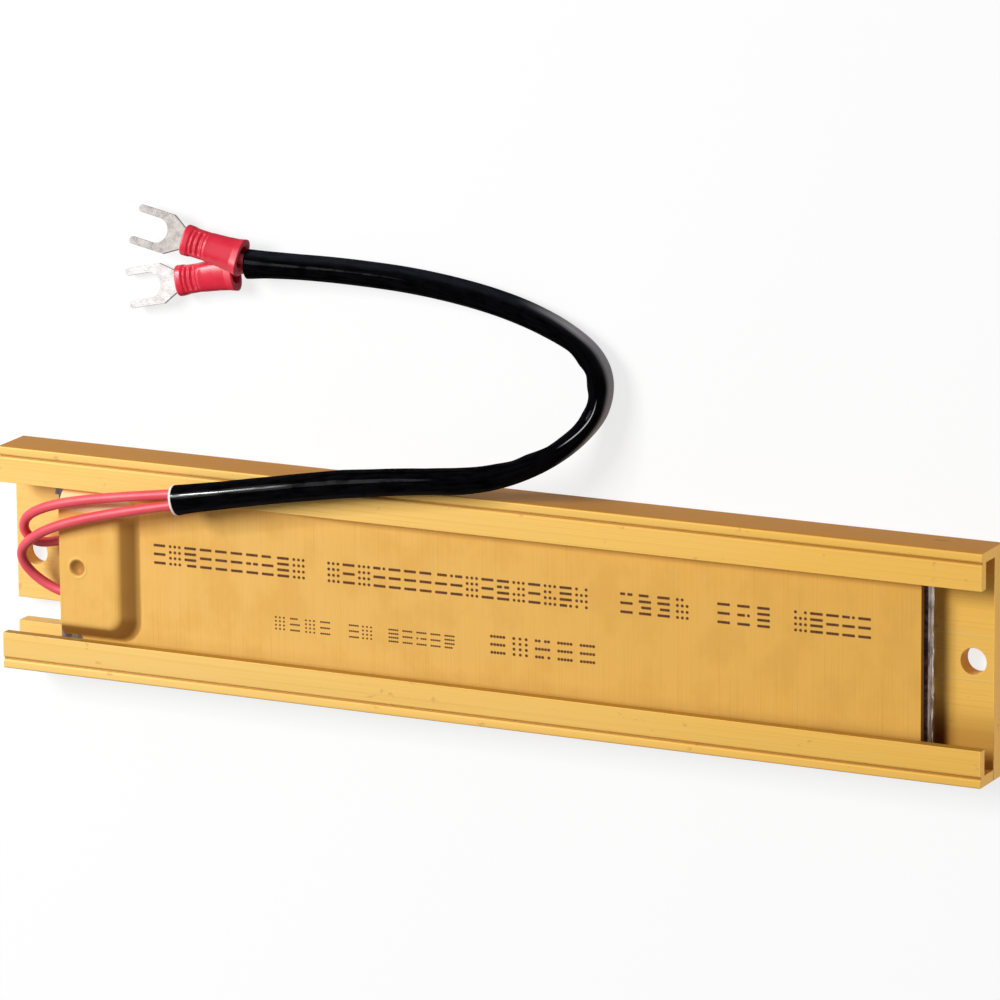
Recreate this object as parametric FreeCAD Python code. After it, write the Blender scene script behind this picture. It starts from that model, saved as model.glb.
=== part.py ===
import FreeCAD, Part
import math
import os
from FreeCAD import Matrix, Placement, Rotation, Vector

# Flat braking resistor: a mica-card resistance element clamped in an open aluminium channel.
# Millimetres. X runs along the channel, Y across it, +Z out of its open front.
# The origin is the middle of the mounting face, which lies on Z = 0.

# Housing: one extruded channel with two inward lips
HOUSING_LENGTH = 190.0
HOUSING_WIDTH = 41.0
HOUSING_HEIGHT = 9.1
WALL_THICKNESS = 1.9
LIP_THICKNESS = 2.0
LIP_REACH = 6.6              # outer side face to lip tip
CORNER_RADIUS = 0.35
GROOVE_INSET = 1.8           # outer side face to the middle of the mark groove
GROOVE_WIDTH = 0.8
GROOVE_DEPTH = 0.45
HOLE_DIAMETER = 4.7
HOLE_INSET = 3.8             # end face to hole centre
NOTCH_WIDTH = 4.3            # open-ended slot in the base at the lead end
NOTCH_LENGTH = 17.0
NOTCH_OFFSET = -10.8         # Y of its middle

# Pressed cover plate
SLIDE_GAP = 0.3              # side play of the plates in the channel
COVER_SHEET = 1.2
COVER_LEAD_INSET = 12.0      # housing end to cover end at the lead end
COVER_PLAIN_INSET = 11.7     # and at the plain end
RELIEF_LENGTH = 3.3          # missing corner of the flange at the lead end
RELIEF_BITE = 0.35           # how far that corner runs into the pressed foot
FOOT_LENGTH = 15.4           # cover end to the foot of the pressed pocket
FOOT_LIP_GAP = 0.35          # sides of that foot to the lip tips
FOOT_CORNER = 4.0
PLATEAU_RISE = 2.0
PLATEAU_CORNER = 2.2
END_SLOPE = 4.6              # foot to plateau at the pocket's end
SIDE_SLOPE = 3.4             # and at its sides
PRESS_STEPS = 6              # outlines lofted from the foot to the crest
DIMPLE_INSET = 3.7           # cover end to dimple centre
DIMPLE_OFFSET = -0.4         # Y of its centre
DIMPLE_DIAMETER = 3.2
DIMPLE_DEPTH = 0.8

# Element: two mica sheets with the wound card between them
REAR_MICA = 0.7
CARD_THICKNESS = 0.7
FRONT_MICA = 1.0
RIBBON_THICKNESS = 0.15
CARD_MARGIN = 2.7            # card edge to the edge of the plates
CARD_OVERHANG_LEAD = 2.3     # card and rear mica beyond the cover at the lead end
CARD_OVERHANG_PLAIN = 0.5    # and at the plain end
EDGE_NOTCH = 0.6             # depth of the card's edge notches
RIBBON_WIDTH = 2.6
TURN_PITCH = 4.6
FIRST_TURN_GAP = 1.4         # pressed foot to the first turn
LAST_TURN_MARGIN = 5.0       # bare card kept at the plain end, at least
EAR_OVERHANG = 2.2           # front mica's ear beyond the cover
EAR_WIDTH = 6.4
PLAIN_RECESS = 0.8           # front mica short of the cover at the plain end

# Return strip and crimp ferrules
STRIP_WIDTH = 1.8
STRIP_THICKNESS = 0.3
STRIP_EDGE_GAP = 0.3         # strip to the edge of the rear mica
STRIP_LEG = 2.4
STRIP_CLEARANCE = 0.12
FERRULE_DIAMETER = 2.4
FERRULE_LENGTH = 5.0
FERRULE_BORE = 1.15
FERRULE_CRIMPS = 2
FERRULE_CRIMP_DEPTH = 0.25
FERRULE_INSET = 3.4          # cover end to the ferrules' outer ends
FERRULE_UPPER_Y = 3.9
FERRULE_LOWER_Y = -6.1

# Leads, sleeve and fork terminals
LEAD_DIAMETER = 1.8
CONDUCTOR_DIAMETER = 1.0
CONDUCTOR_BARE = 4.4
SLEEVE_DIAMETER = 5.0
SLEEVE_WALL = 0.4
TERMINAL_LENGTH = 22.2
TERMINAL_WIDTH = 7.2
TERMINAL_SHEET = 0.8
FORK_SLOT = 4.5
FORK_SLOT_DEPTH = 6.8
NECK_WIDTH = 3.2
SHOULDER_FROM_TIP = 7.1
TINE_ROUNDING = 0.6
BARREL_DIAMETER = 3.0
BARREL_BORE = 1.15
BARREL_LENGTH = 6.0
GRIP_LENGTH = 11.6
GRIP_FRONT_WIDTH = 5.6
GRIP_WAIST_WIDTH = 5.1
GRIP_REAR_WIDTH = 6.4
GRIP_BELL_BORE = 4.6
GRIP_BELL_DEPTH = 3.6
GRIP_FLATTENING = 0.6        # thickness over width of the crimped grip
GRIP_RIDGES = 3
GRIP_RIDGE_PITCH = 1.1
GRIP_RIDGE_DEPTH = 0.25
GRIP_FIT = 0.05              # grip to barrel
UPPER_ROLL = 17.0            # degrees each terminal is rolled about its lead
LOWER_ROLL = 9.0

# Routes from the ferrules to the forks. X is measured from the housing's lead end.
LEAD_POINTS_UPPER = [
    (11.6, 3.9, 6.1), (8.3, 3.0, 6.5), (5.8, 3.2, 7.3), (4.3, 5.4, 8.4),
    (5.5, 8.1, 9.6), (9.0, 10.2, 10.5), (15.0, 12.2, 11.2), (24.0, 14.0, 11.7),
    (36.0, 15.85, 12.0), (46.0, 17.5, 12.5), (57.0, 19.3, 13.0), (71.0, 21.2, 13.0),
    (85.0, 23.35, 13.0), (96.6, 24.05, 12.3), (105.2, 26.6, 10.05), (111.7, 30.6, 6.65),
    (115.8, 35.1, 4.0), (116.9, 40.1, 3.55), (115.4, 45.5, 3.55), (110.5, 49.45, 3.55),
    (98.9, 53.75, 3.55), (83.0, 56.35, 3.55), (68.0, 57.0, 3.8), (56.5, 57.0, 4.1),
    (52.0, 57.0, 4.35), (49.1, 56.9, 4.32), (46.9, 58.2, 4.75), (44.1, 58.73, 4.6)]
LEAD_POINTS_LOWER = [
    (11.6, -6.1, 6.25), (7.4, -4.6, 6.5), (4.3, -1.9, 7.4), (3.6, 1.2, 8.5),
    (6.0, 3.9, 9.6), (10.4, 6.6, 10.5), (17.5, 9.2, 11.2), (26.0, 11.5, 11.7),
    (36.0, 13.8, 12.0), (46.0, 15.8, 11.5), (57.0, 18.2, 11.0), (71.0, 21.2, 11.0),
    (85.0, 23.35, 11.0), (96.6, 24.05, 10.3), (105.2, 26.6, 7.95), (111.7, 30.6, 4.55),
    (115.8, 35.1, 2.0), (116.9, 40.1, 1.55), (115.4, 45.5, 1.55), (110.5, 49.45, 1.55),
    (98.9, 53.75, 1.55), (83.0, 56.35, 1.55), (68.0, 57.0, 1.8), (56.5, 56.9, 2.1),
    (51.5, 56.7, 2.4), (48.1, 56.32, 2.72), (44.7, 54.7, 2.0), (41.3, 53.93, 1.95)]
SLEEVE_POINTS = [
    (37.4, 14.95, 12.0), (46.0, 16.7, 12.0), (57.0, 18.8, 12.0), (71.0, 21.2, 12.0),
    (85.0, 23.35, 12.0), (96.6, 24.05, 11.3), (105.2, 26.6, 9.0), (111.7, 30.6, 5.6),
    (115.8, 35.1, 3.0), (116.9, 40.1, 2.55), (115.4, 45.5, 2.55), (110.5, 49.45, 2.55),
    (98.9, 53.75, 2.55), (83.0, 56.35, 2.55), (68.0, 57.0, 2.8), (56.5, 56.95, 3.1),
    (48.3, 56.75, 3.65)]
ARC_SHARE = 0.45             # part of the shorter run that a bend takes up
NEAR = 0.01                  # tolerance for picking edges by their place

# Heights and places that follow from the sizes above
LIP_UNDERSIDE = HOUSING_HEIGHT - LIP_THICKNESS
COVER_UNDERSIDE = LIP_UNDERSIDE - COVER_SHEET
RIBBON_TOP = COVER_UNDERSIDE - FRONT_MICA
CARD_TOP = RIBBON_TOP - RIBBON_THICKNESS
CARD_UNDERSIDE = CARD_TOP - CARD_THICKNESS
REAR_MICA_TOP = CARD_UNDERSIDE - RIBBON_THICKNESS
BASE_THICKNESS = REAR_MICA_TOP - REAR_MICA      # the base is what the lips and the stack leave
PLATEAU_TOP = LIP_UNDERSIDE + PLATEAU_RISE
HALF_LENGTH = HOUSING_LENGTH / 2
HALF_WIDTH = HOUSING_WIDTH / 2
HALF_CHANNEL = HALF_WIDTH - WALL_THICKNESS
HALF_PLATE = HALF_CHANNEL - SLIDE_GAP
COVER_LEAD_END = COVER_LEAD_INSET - HALF_LENGTH
COVER_PLAIN_END = HALF_LENGTH - COVER_PLAIN_INSET
FOOT_END = COVER_LEAD_END + FOOT_LENGTH
HALF_FOOT = HALF_WIDTH - LIP_REACH - FOOT_LIP_GAP
CARD_LEAD_END = COVER_LEAD_END - CARD_OVERHANG_LEAD
CARD_PLAIN_END = COVER_PLAIN_END + CARD_OVERHANG_PLAIN
HALF_CARD = HALF_PLATE - CARD_MARGIN
NOTCH_FLOOR = HALF_CARD - EDGE_NOTCH
FIRST_TURN = FOOT_END + FIRST_TURN_GAP
TURNS = math.floor((CARD_PLAIN_END - LAST_TURN_MARGIN - FIRST_TURN) / TURN_PITCH)
LAST_TURN = FIRST_TURN + (TURNS - 1) * TURN_PITCH
STRIP_OUTER = -(HALF_PLATE - STRIP_EDGE_GAP)
STRIP_INNER = STRIP_OUTER + STRIP_WIDTH
STRIP_PAD_TOP = CARD_TOP + STRIP_THICKNESS
FERRULE_START = COVER_LEAD_END + FERRULE_INSET
UPPER_START = (FERRULE_START, FERRULE_UPPER_Y, RIBBON_TOP + FERRULE_DIAMETER / 2)
LOWER_START = (FERRULE_START, FERRULE_LOWER_Y, STRIP_PAD_TOP + FERRULE_DIAMETER / 2)


def box(x0, x1, y0, y1, z0, z1):
    return Part.makeBox(x1 - x0, y1 - y0, z1 - z0, Vector(x0, y0, z0))


def section_along_x(points, x0, x1):
    """Extrude a closed outline of (y, z) points from x0 to x1."""
    corners = [Vector(x0, y, z) for y, z in points]
    face = Part.Face(Part.makePolygon(corners + corners[:1]))
    return face.extrude(Vector(x1 - x0, 0, 0))


def plate(points, z0, z1):
    """Extrude a closed outline of (x, y) points from z0 up to z1."""
    corners = [Vector(x, y, z0) for x, y in points]
    face = Part.Face(Part.makePolygon(corners + corners[:1]))
    return face.extrude(Vector(0, 0, z1 - z0))


def from_lead_end(points):
    return [(x - HALF_LENGTH, y, z) for x, y, z in points]


def tube_path(route):
    """Join straight runs with tangent arcs, and list the radius at each corner."""
    points = [Vector(*p) for p in route]
    edges = []
    radii = []
    start = points[0]
    for before, corner, after in zip(points, points[1:], points[2:]):
        way_in = (corner - before).normalize()
        way_out = (after - corner).normalize()
        cut = ARC_SHARE * min(before.distanceToPoint(corner), corner.distanceToPoint(after))
        half_turn = way_in.getAngle(way_out) / 2
        radius = cut / math.tan(half_turn)
        arc_start = corner - way_in * cut
        arc_end = corner + way_out * cut
        inward = (way_out - way_in).normalize()
        arc_middle = corner + inward * (radius / math.cos(half_turn) - radius)
        edges.append(Part.LineSegment(start, arc_start).toShape())
        edges.append(Part.Arc(arc_start, arc_middle, arc_end).toShape())
        radii.append(round(radius, 1))
        start = arc_end
    edges.append(Part.LineSegment(start, points[-1]).toShape())
    return Part.Wire(edges), radii


def tube(route, diameter):
    """A round solid along a route."""
    path, radii = tube_path(route)
    first = Vector(*route[0])
    along = (Vector(*route[1]) - first).normalize()
    ring = Part.Wire(Part.makeCircle(diameter / 2, first, along))
    return path.makePipeShell([ring], True, False), path.Length, radii


def housing():
    groove = HALF_WIDTH - GROOVE_INSET
    lip_tip = HALF_WIDTH - LIP_REACH
    right = [
        (HALF_WIDTH, 0),
        (HALF_WIDTH, HOUSING_HEIGHT),
        (groove + GROOVE_WIDTH / 2, HOUSING_HEIGHT),
        (groove, HOUSING_HEIGHT - GROOVE_DEPTH),
        (groove - GROOVE_WIDTH / 2, HOUSING_HEIGHT),
        (lip_tip, HOUSING_HEIGHT),
        (lip_tip, LIP_UNDERSIDE),
        (HALF_CHANNEL, LIP_UNDERSIDE),
        (HALF_CHANNEL, BASE_THICKNESS)]
    left = [(-y, z) for y, z in reversed(right)]
    channel = section_along_x(right + left, -HALF_LENGTH, HALF_LENGTH)
    corners = [
        edge for edge in channel.Edges
        if abs(edge.BoundBox.XLength - HOUSING_LENGTH) < NEAR
        and abs(abs(edge.CenterOfMass.y) - HALF_WIDTH) < NEAR]
    channel = channel.makeFillet(CORNER_RADIUS, corners)
    for side in (-1, 1):
        centre = Vector(side * (HALF_LENGTH - HOLE_INSET), 0, 0)
        channel = channel.cut(Part.makeCylinder(HOLE_DIAMETER / 2, BASE_THICKNESS, centre))
    notch_end = -HALF_LENGTH + NOTCH_LENGTH - NOTCH_WIDTH / 2
    notch = box(-HALF_LENGTH, notch_end, NOTCH_OFFSET - NOTCH_WIDTH / 2,
                NOTCH_OFFSET + NOTCH_WIDTH / 2, 0, BASE_THICKNESS)
    notch_round = Part.makeCylinder(NOTCH_WIDTH / 2, BASE_THICKNESS,
                                    Vector(notch_end, NOTCH_OFFSET, 0))
    return channel.cut(notch.fuse(notch_round))


def rounded_outline(x0, x1, half_width, radius, z):
    """A rectangle with two rounded corners at its x1 end."""
    turn = radius * (1 - math.sqrt(0.5))
    corners = [
        Part.LineSegment(Vector(x0, -half_width, z), Vector(x1 - radius, -half_width, z)),
        Part.Arc(Vector(x1 - radius, -half_width, z), Vector(x1 - turn, -half_width + turn, z),
                 Vector(x1, -half_width + radius, z)),
        Part.LineSegment(Vector(x1, -half_width + radius, z), Vector(x1, half_width - radius, z)),
        Part.Arc(Vector(x1, half_width - radius, z), Vector(x1 - turn, half_width - turn, z),
                 Vector(x1 - radius, half_width, z)),
        Part.LineSegment(Vector(x1 - radius, half_width, z), Vector(x0, half_width, z)),
        Part.LineSegment(Vector(x0, half_width, z), Vector(x0, -half_width, z))]
    return Part.Wire([piece.toShape() for piece in corners])


def pressed_outline(share, start):
    """Outline of the raised pocket, at a share of the way in from its foot to its crest."""
    corner = FOOT_CORNER + share * (PLATEAU_CORNER - FOOT_CORNER)
    rise = PLATEAU_RISE * math.sin(share * math.pi / 2)
    return rounded_outline(start, FOOT_END - share * END_SLOPE,
                           HALF_FOOT - share * SIDE_SLOPE, corner, LIP_UNDERSIDE + rise)


def pressed_body(margin):
    """Everything below the pressed top face, wider all round by a margin and open-ended at the lead end."""
    start = COVER_LEAD_END - FOOT_LENGTH - margin
    steps = [step / PRESS_STEPS for step in range(PRESS_STEPS + 1)]
    raised = Part.makeLoft([pressed_outline(share, start) for share in steps], True)
    flat = box(start, COVER_PLAIN_END + margin, -HALF_PLATE - margin, HALF_PLATE + margin,
               LIP_UNDERSIDE - 3 * COVER_SHEET, LIP_UNDERSIDE)
    half = DIMPLE_DIAMETER / 2
    ball = (half ** 2 + DIMPLE_DEPTH ** 2) / (2 * DIMPLE_DEPTH)
    centre = Vector(COVER_LEAD_END + DIMPLE_INSET, DIMPLE_OFFSET, PLATEAU_TOP + ball - DIMPLE_DEPTH)
    return flat.fuse(raised).cut(Part.makeSphere(ball, centre))


def cover_plate():
    """The sheet between the pressed top face and the same face one sheet lower."""
    lower = pressed_body(COVER_SHEET).translated(Vector(0, 0, -COVER_SHEET))
    sheet = pressed_body(0).cut(lower)
    waste = box(COVER_LEAD_END - FOOT_LENGTH, COVER_LEAD_END, -HALF_PLATE, HALF_PLATE,
                BASE_THICKNESS, 2 * PLATEAU_TOP)
    relief = box(COVER_LEAD_END, COVER_LEAD_END + RELIEF_LENGTH, -HALF_PLATE,
                 -HALF_FOOT + RELIEF_BITE, BASE_THICKNESS, LIP_UNDERSIDE + COVER_SHEET)
    return sheet.cut(waste).cut(relief)


def rear_mica():
    return box(CARD_LEAD_END, CARD_PLAIN_END, -HALF_PLATE, HALF_PLATE,
               BASE_THICKNESS, REAR_MICA_TOP)


def front_mica():
    """Covers the winding, and leaves the pressed pocket open for the crimps."""
    ear_end = COVER_LEAD_END - EAR_OVERHANG
    plain_end = COVER_PLAIN_END - PLAIN_RECESS
    outline = [
        (ear_end, HALF_PLATE - EAR_WIDTH), (FOOT_END, HALF_PLATE - EAR_WIDTH),
        (FOOT_END, -HALF_PLATE), (plain_end, -HALF_PLATE),
        (plain_end, HALF_PLATE), (ear_end, HALF_PLATE)]
    return plate(outline, RIBBON_TOP, COVER_UNDERSIDE)


def turn_start(turn):
    return FIRST_TURN + turn * TURN_PITCH


def element_card():
    """Mica card with a notch in each edge for every turn of the ribbon."""
    edge = [(CARD_LEAD_END, HALF_CARD)]
    for turn in range(TURNS):
        start = turn_start(turn)
        end = start + RIBBON_WIDTH
        edge += [(start, HALF_CARD), (start, NOTCH_FLOOR), (end, NOTCH_FLOOR), (end, HALF_CARD)]
    edge.append((CARD_PLAIN_END, HALF_CARD))
    outline = edge + [(x, -y) for x, y in reversed(edge)]
    return plate(outline, CARD_UNDERSIDE, CARD_TOP)


def resistance_ribbon():
    """One flat ribbon wound round the card, with a tail at each end."""
    outer = NOTCH_FLOOR + RIBBON_THICKNESS
    bracket = [
        (-outer, REAR_MICA_TOP), (-outer, RIBBON_TOP), (outer, RIBBON_TOP),
        (outer, REAR_MICA_TOP), (NOTCH_FLOOR, REAR_MICA_TOP), (NOTCH_FLOOR, CARD_TOP),
        (-NOTCH_FLOOR, CARD_TOP), (-NOTCH_FLOOR, REAR_MICA_TOP)]
    pieces = []
    for turn in range(TURNS):
        start = turn_start(turn)
        pieces.append(section_along_x(bracket, start, start + RIBBON_WIDTH))
        if turn < TURNS - 1:
            follow = turn_start(turn + 1)
            crossing = [
                (start, outer), (start + RIBBON_WIDTH, outer),
                (follow + RIBBON_WIDTH, -outer), (follow, -outer)]
            pieces.append(plate(crossing, REAR_MICA_TOP, CARD_UNDERSIDE))
    first_tail = box(FERRULE_START, FIRST_TURN, FERRULE_UPPER_Y - FERRULE_DIAMETER / 2,
                     FERRULE_UPPER_Y + FERRULE_DIAMETER / 2, CARD_TOP, RIBBON_TOP)
    last_tail = box(LAST_TURN, LAST_TURN + RIBBON_WIDTH, STRIP_OUTER, -NOTCH_FLOOR,
                    REAR_MICA_TOP, CARD_UNDERSIDE)
    return pieces[0].multiFuse(pieces[1:] + [first_tail, last_tail]).removeSplitter()


def return_strip():
    """Brings the far end of the winding back along the card to the second crimp."""
    strip_top = CARD_UNDERSIDE + STRIP_THICKNESS
    run = box(COVER_LEAD_END, LAST_TURN + RIBBON_WIDTH, STRIP_OUTER, STRIP_INNER,
              CARD_UNDERSIDE, strip_top)
    card_edge = -HALF_CARD - STRIP_CLEARANCE
    pad_edge = FERRULE_LOWER_Y + FERRULE_DIAMETER / 2
    step = [
        (STRIP_OUTER, CARD_UNDERSIDE), (card_edge, CARD_UNDERSIDE), (card_edge, CARD_TOP),
        (pad_edge, CARD_TOP), (pad_edge, STRIP_PAD_TOP),
        (card_edge - STRIP_THICKNESS, STRIP_PAD_TOP),
        (card_edge - STRIP_THICKNESS, strip_top), (STRIP_OUTER, strip_top)]
    leg = section_along_x(step, COVER_LEAD_END, COVER_LEAD_END + STRIP_LEG)
    pad = box(COVER_LEAD_END, FERRULE_START + FERRULE_LENGTH,
              FERRULE_LOWER_Y - FERRULE_DIAMETER / 2, pad_edge, CARD_TOP, STRIP_PAD_TOP)
    return run.multiFuse([leg, pad]).removeSplitter()


def ferrule(lead_start):
    """Crimp barrel that joins a bare conductor to the ribbon or the strip."""
    outer = FERRULE_DIAMETER / 2
    waist = outer - FERRULE_CRIMP_DEPTH
    pitch = FERRULE_LENGTH / FERRULE_CRIMPS
    profile = [(0, outer)]
    for crimp in range(FERRULE_CRIMPS):
        middle = crimp * pitch + pitch / 2
        profile += [(middle - pitch / 4, outer), (middle, waist), (middle + pitch / 4, outer)]
    profile += [(FERRULE_LENGTH, outer), (FERRULE_LENGTH, FERRULE_BORE / 2), (0, FERRULE_BORE / 2)]
    x, y, z = lead_start
    corners = [Vector(x + along, y, z + out) for along, out in profile]
    face = Part.Face(Part.makePolygon(corners + corners[:1]))
    return face.revolve(Vector(x, y, z), Vector(1, 0, 0), 360)


def bare_end(tip, inward):
    """Stripped conductor beyond the end of a lead's insulation."""
    return Part.makeCylinder(CONDUCTOR_DIAMETER / 2, CONDUCTOR_BARE, tip, inward)


def route_end(route):
    """The last point of a route and its heading."""
    last = Vector(*route[-1])
    return last, (last - Vector(*route[-2])).normalize()


def on_lead_end(shape, route, roll):
    """Move a terminal, modelled along +X from its grip's rear, onto the end of a lead."""
    last, heading = route_end(route)
    level = Vector(0, 0, 1).cross(heading).normalize()
    side = Rotation(heading, roll).multVec(level)
    normal = heading.cross(side)
    rear = last - heading * GRIP_BELL_DEPTH
    frame = Matrix(heading.x, side.x, normal.x, rear.x,
                   heading.y, side.y, normal.y, rear.y,
                   heading.z, side.z, normal.z, rear.z,
                   0, 0, 0, 1)
    moved = shape.copy()
    moved.Placement = Placement(frame)
    return moved


def fork():
    """Stamped fork tongue with its rolled barrel, tip towards +X."""
    shoulder = TERMINAL_LENGTH - SHOULDER_FROM_TIP
    half = TERMINAL_WIDTH / 2
    neck = NECK_WIDTH / 2
    barrel_end = GRIP_BELL_DEPTH + BARREL_LENGTH
    low = -TERMINAL_SHEET / 2
    outline = [
        (barrel_end - TERMINAL_SHEET, -neck), (GRIP_LENGTH, -neck), (shoulder, -half),
        (TERMINAL_LENGTH, -half), (TERMINAL_LENGTH, half), (shoulder, half),
        (GRIP_LENGTH, neck), (barrel_end - TERMINAL_SHEET, neck)]
    tongue = plate(outline, low, -low)
    slot_end = TERMINAL_LENGTH - FORK_SLOT_DEPTH + FORK_SLOT / 2
    slot = Part.makeCylinder(FORK_SLOT / 2, TERMINAL_SHEET, Vector(slot_end, 0, low))
    slot = slot.fuse(box(slot_end, TERMINAL_LENGTH, -FORK_SLOT / 2, FORK_SLOT / 2, low, -low))
    tongue = tongue.cut(slot)
    tips = [
        edge for edge in tongue.Edges
        if abs(edge.BoundBox.ZLength - TERMINAL_SHEET) < NEAR
        and abs(edge.CenterOfMass.x - TERMINAL_LENGTH) < NEAR]
    tongue = tongue.makeFillet(TINE_ROUNDING, tips)
    start = Vector(GRIP_BELL_DEPTH, 0, 0)
    along = Vector(1, 0, 0)
    barrel = Part.makeCylinder(BARREL_DIAMETER / 2, BARREL_LENGTH, start, along)
    terminal = barrel.fuse(tongue)
    return terminal.cut(Part.makeCylinder(BARREL_BORE / 2, BARREL_LENGTH - TERMINAL_SHEET, start, along))


def grip():
    """Moulded insulating grip: a turned form flattened by the crimp."""
    front = GRIP_FRONT_WIDTH / 2
    waist = GRIP_WAIST_WIDTH / 2
    rear = GRIP_REAR_WIDTH / 2
    first_ridge = GRIP_LENGTH - GRIP_RIDGE_PITCH * (GRIP_RIDGES + 0.5)
    edge = [(0, rear), (GRIP_BELL_DEPTH, (rear + waist) / 2), (first_ridge - GRIP_RIDGE_PITCH / 2, waist)]
    for ridge in range(GRIP_RIDGES):
        middle = first_ridge + ridge * GRIP_RIDGE_PITCH
        edge.append((middle, waist + GRIP_RIDGE_DEPTH))
        edge.append((middle + GRIP_RIDGE_PITCH / 2, waist))
    edge.append((GRIP_LENGTH, front))
    corners = [Vector(x, y, 0) for x, y in [(0, 0)] + edge + [(GRIP_LENGTH, 0)]]
    face = Part.Face(Part.makePolygon(corners + corners[:1]))
    turned = face.revolve(Vector(0, 0, 0), Vector(1, 0, 0), 360)
    bell = Part.makeCone(GRIP_BELL_BORE / 2, BARREL_DIAMETER / 2, GRIP_BELL_DEPTH,
                         Vector(0, 0, 0), Vector(1, 0, 0))
    flatten = Matrix()
    flatten.scale(1, 1, GRIP_FLATTENING)
    body = turned.transformGeometry(flatten)
    flat_bell = bell.transformGeometry(flatten)
    barrel = Part.makeCylinder(BARREL_DIAMETER / 2 + GRIP_FIT, GRIP_LENGTH, Vector(0, 0, 0), Vector(1, 0, 0))
    mouth = box(GRIP_BELL_DEPTH, GRIP_LENGTH, -NECK_WIDTH / 2 - GRIP_FIT, NECK_WIDTH / 2 + GRIP_FIT,
                -TERMINAL_SHEET / 2 - GRIP_FIT, TERMINAL_SHEET / 2 + GRIP_FIT)
    barrel_room = barrel.common(box(GRIP_BELL_DEPTH - GRIP_FIT, GRIP_BELL_DEPTH + BARREL_LENGTH + GRIP_FIT,
                                    -front, front, -front, front))
    return body.cut(flat_bell).cut(barrel_room).cut(mouth)


def sleeve(route):
    """Coated sleeving over both leads."""
    outer, length, radii = tube(route, SLEEVE_DIAMETER)
    inner, _, _ = tube(route, SLEEVE_DIAMETER - 2 * SLEEVE_WALL)
    return outer.cut(inner), length, radii


def export(name, shape):
    shape.exportStep(f"parts/{name}.step")
    print(f"{name:20s} solids {len(shape.Solids):2d}  volume {shape.Volume:9.1f} mm3")


os.makedirs("parts", exist_ok=True)
export("housing", housing())
export("cover_plate", cover_plate())
export("rear_mica", rear_mica())
export("front_mica", front_mica())
export("element_card", element_card())
export("resistance_ribbon", resistance_ribbon())
export("return_strip", return_strip())

element_ends = []
fork_ends = []
leads = {
    "upper": ([UPPER_START] + from_lead_end(LEAD_POINTS_UPPER), UPPER_ROLL),
    "lower": ([LOWER_START] + from_lead_end(LEAD_POINTS_LOWER), LOWER_ROLL)}
for side, (route, roll) in leads.items():
    lead, length, radii = tube(route, LEAD_DIAMETER)
    export(f"lead_{side}", lead)
    print(f"  length {length:.1f} mm, section times length {length * math.pi * LEAD_DIAMETER ** 2 / 4:.1f}")
    print(f"  bend radii {radii}")
    export(f"ferrule_{side}", ferrule(route[0]))
    element_ends.append(bare_end(Vector(*route[0]), Vector(1, 0, 0)))
    last, heading = route_end(route)
    fork_ends.append(bare_end(last, heading))
    export(f"fork_{side}", on_lead_end(fork(), route, roll))
    export(f"fork_grip_{side}", on_lead_end(grip(), route, roll))
export("bare_ends_element", Part.makeCompound(element_ends))
export("bare_ends_forks", Part.makeCompound(fork_ends))
sleeve_shape, length, radii = sleeve(from_lead_end(SLEEVE_POINTS))
export("sleeve", sleeve_shape)
section = math.pi * SLEEVE_WALL * (SLEEVE_DIAMETER - SLEEVE_WALL)
print(f"  length {length:.1f} mm, section times length {length * section:.1f}")
print(f"  bend radii {radii}")
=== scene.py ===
import math

import bmesh
import bpy
import numpy as np
from mathutils import Matrix, Vector


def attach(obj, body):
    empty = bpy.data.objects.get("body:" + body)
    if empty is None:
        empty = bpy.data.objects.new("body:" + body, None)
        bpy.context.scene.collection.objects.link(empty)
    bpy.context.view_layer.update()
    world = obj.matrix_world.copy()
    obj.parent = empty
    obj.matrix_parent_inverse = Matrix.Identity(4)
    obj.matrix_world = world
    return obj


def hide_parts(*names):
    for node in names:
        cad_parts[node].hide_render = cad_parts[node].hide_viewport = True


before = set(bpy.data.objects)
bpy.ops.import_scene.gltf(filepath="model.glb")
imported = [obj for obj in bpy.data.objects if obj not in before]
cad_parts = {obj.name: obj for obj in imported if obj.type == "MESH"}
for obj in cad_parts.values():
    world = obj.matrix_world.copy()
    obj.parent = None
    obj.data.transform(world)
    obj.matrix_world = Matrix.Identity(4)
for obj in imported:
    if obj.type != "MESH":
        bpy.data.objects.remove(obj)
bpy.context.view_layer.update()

# Camera: far back on a long lens, above the cable side, so the channel's two long edges
# stay nearly parallel.
camera_data = bpy.data.cameras.new("camera")
camera_data.sensor_width = 36.0
camera_data.lens = 268.8
camera_data.clip_end = 10.0
camera = bpy.data.objects.new("camera", camera_data)
camera.location = (0.56296, 0.32667, 1.13098)
camera.rotation_euler = [math.radians(turn) for turn in (-13.94, 26.338, -0.487)]
bpy.context.collection.objects.link(camera)
bpy.context.scene.camera = camera


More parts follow.
